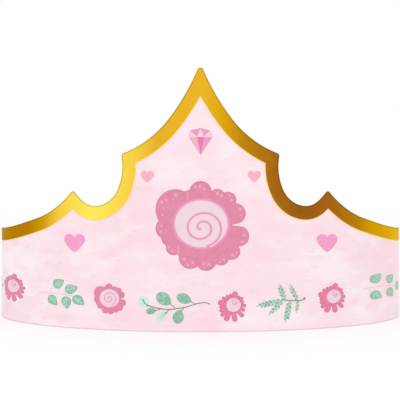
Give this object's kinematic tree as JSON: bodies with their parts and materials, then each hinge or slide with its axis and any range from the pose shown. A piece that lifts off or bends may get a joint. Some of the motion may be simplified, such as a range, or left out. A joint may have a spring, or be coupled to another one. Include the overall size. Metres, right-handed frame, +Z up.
{
  "type": "paper crown",
  "caption": "Closed ring of thin printed card with a pointed front crest between two scallops, edged in gold foil, worn on the head.",
  "frame": {"origin": "centre of the head opening at the level of the bottom edge", "axes": "+Z up along the ring's axis, -Y towards the peak at the front, +Y towards the glued lap at the back, +X to the right as seen from the front"},
  "size_m": [0.1854, 0.1858, 0.1063],
  "materials": {
    "pink_card": "matte",
    "gold_foil": "satin"
  },
  "bodies": {
    "root": {"crown_card": "pink_card", "gold_foil_border": "gold_foil"}
  },
  "joints": []
}
